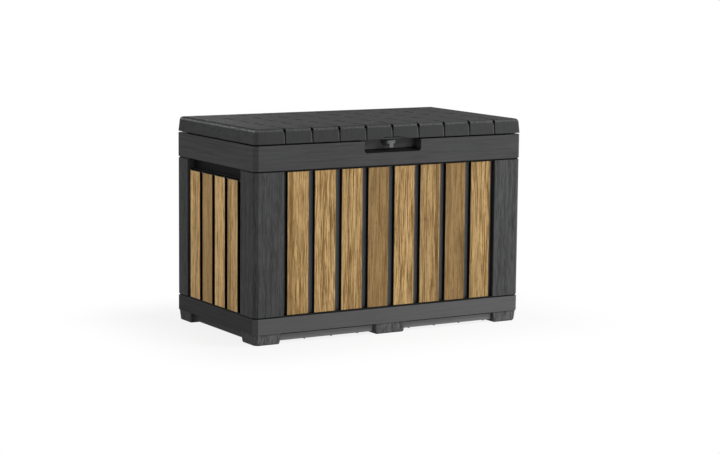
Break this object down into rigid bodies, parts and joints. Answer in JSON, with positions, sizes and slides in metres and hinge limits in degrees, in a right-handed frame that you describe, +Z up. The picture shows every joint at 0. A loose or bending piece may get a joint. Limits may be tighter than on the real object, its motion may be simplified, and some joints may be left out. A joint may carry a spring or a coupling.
{
  "type": "dock box",
  "caption": "Resin storage box with wood-look slats, a recessed lock tab and a lid on rear hinges, for a dock, deck or patio.",
  "frame": {"origin": "on the floor under the centre of the closed box, hinges included", "axes": "+Z up; -Y towards the front with the lock recess; +X to the right of someone facing the front"},
  "size_m": [0.828, 0.474, 0.563],
  "materials": {
    "graphite_resin": "moulded resin with a fine wood grain",
    "dark_resin": "plain moulded resin",
    "wood_look_slat": "printed oak grain, satin",
    "hinge_steel": "stainless, satin",
    "pin_and_screw_steel": "stainless, turned"
  },
  "bodies": {
    "box": {"base_tray": "graphite_resin", "foot_front_left": "graphite_resin", "foot_front_middle": "graphite_resin", "foot_front_right": "graphite_resin", "foot_rear_left": "graphite_resin", "foot_rear_middle": "graphite_resin", "foot_rear_right": "graphite_resin", "front_panel": "dark_resin", "front_slat_1": "wood_look_slat", "front_slat_2": "wood_look_slat", "front_slat_3": "wood_look_slat", "front_slat_4": "wood_look_slat", "front_slat_5": "wood_look_slat", "front_slat_6": "wood_look_slat", "front_slat_7": "wood_look_slat", "front_slat_8": "wood_look_slat", "hinge_box_leaf_1": "hinge_steel", "hinge_box_leaf_2": "hinge_steel", "hinge_box_leaf_3": "hinge_steel", "hinge_box_screws": "pin_and_screw_steel", "hinge_pin_1": "pin_and_screw_steel", "hinge_pin_2": "pin_and_screw_steel", "hinge_pin_3": "pin_and_screw_steel", "left_panel": "dark_resin", "left_slat_1": "wood_look_slat", "left_slat_2": "wood_look_slat", "left_slat_3": "wood_look_slat", "left_slat_4": "wood_look_slat", "lock_staple": "graphite_resin", "post_front_left": "graphite_resin", "post_front_right": "graphite_resin", "post_rear_left": "graphite_resin", "post_rear_right": "graphite_resin", "rear_panel": "dark_resin", "right_panel": "dark_resin", "right_slat_1": "wood_look_slat", "right_slat_2": "wood_look_slat", "right_slat_3": "wood_look_slat", "right_slat_4": "wood_look_slat", "rim_frame": "graphite_resin"},
    "lid": {"lid_shell": "graphite_resin", "lid_liner": "dark_resin", "lid_hasp": "graphite_resin", "hinge_lid_leaf_1": "hinge_steel", "hinge_lid_leaf_2": "hinge_steel", "hinge_lid_leaf_3": "hinge_steel", "hinge_lid_screws": "pin_and_screw_steel"}
  },
  "joints": [
    {"name": "lid_hinge", "type": "hinge", "parent": "box", "child": "lid", "pos_m": [0, 0.231, 0.522], "axis": [-1, 0, 0], "range_deg": [0, 100]}
  ]
}
